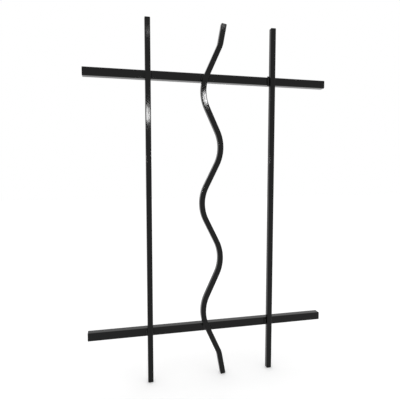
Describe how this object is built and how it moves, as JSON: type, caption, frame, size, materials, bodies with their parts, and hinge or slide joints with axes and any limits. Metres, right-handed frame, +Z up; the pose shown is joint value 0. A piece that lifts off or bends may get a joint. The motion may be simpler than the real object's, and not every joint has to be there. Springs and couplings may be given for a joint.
{
  "type": "window security grille",
  "caption": "Welded window security grille: horizontal square rails behind lighter vertical square bars, the middle bar bent to a wave, all in gloss black.",
  "frame": {"origin": "centre of the whole grille: half-way along the rails, half-way up the bars and half-way through the depth", "axes": "+Z up along the straight bars, +X along the rails to the right as seen from the front, +Y back through the grille, so the front with the bars faces -Y"},
  "size_m": [0.588, 0.0318, 0.842],
  "materials": {
    "rail_paint": "gloss black enamel on rolled steel",
    "bar_paint": "gloss black enamel on rolled steel",
    "weld_paint": "gloss black enamel over weld beads"
  },
  "bodies": {
    "root": {"upper_rail": "rail_paint", "lower_rail": "rail_paint", "left_bar": "bar_paint", "wavy_bar": "bar_paint", "right_bar": "bar_paint", "weld_upper_left_bar_left_side": "weld_paint", "weld_upper_left_bar_right_side": "weld_paint", "weld_upper_wavy_bar_left_side": "weld_paint", "weld_upper_wavy_bar_right_side": "weld_paint", "weld_upper_right_bar_left_side": "weld_paint", "weld_upper_right_bar_right_side": "weld_paint", "weld_lower_left_bar_left_side": "weld_paint", "weld_lower_left_bar_right_side": "weld_paint", "weld_lower_wavy_bar_left_side": "weld_paint", "weld_lower_wavy_bar_right_side": "weld_paint", "weld_lower_right_bar_left_side": "weld_paint", "weld_lower_right_bar_right_side": "weld_paint"}
  },
  "joints": []
}
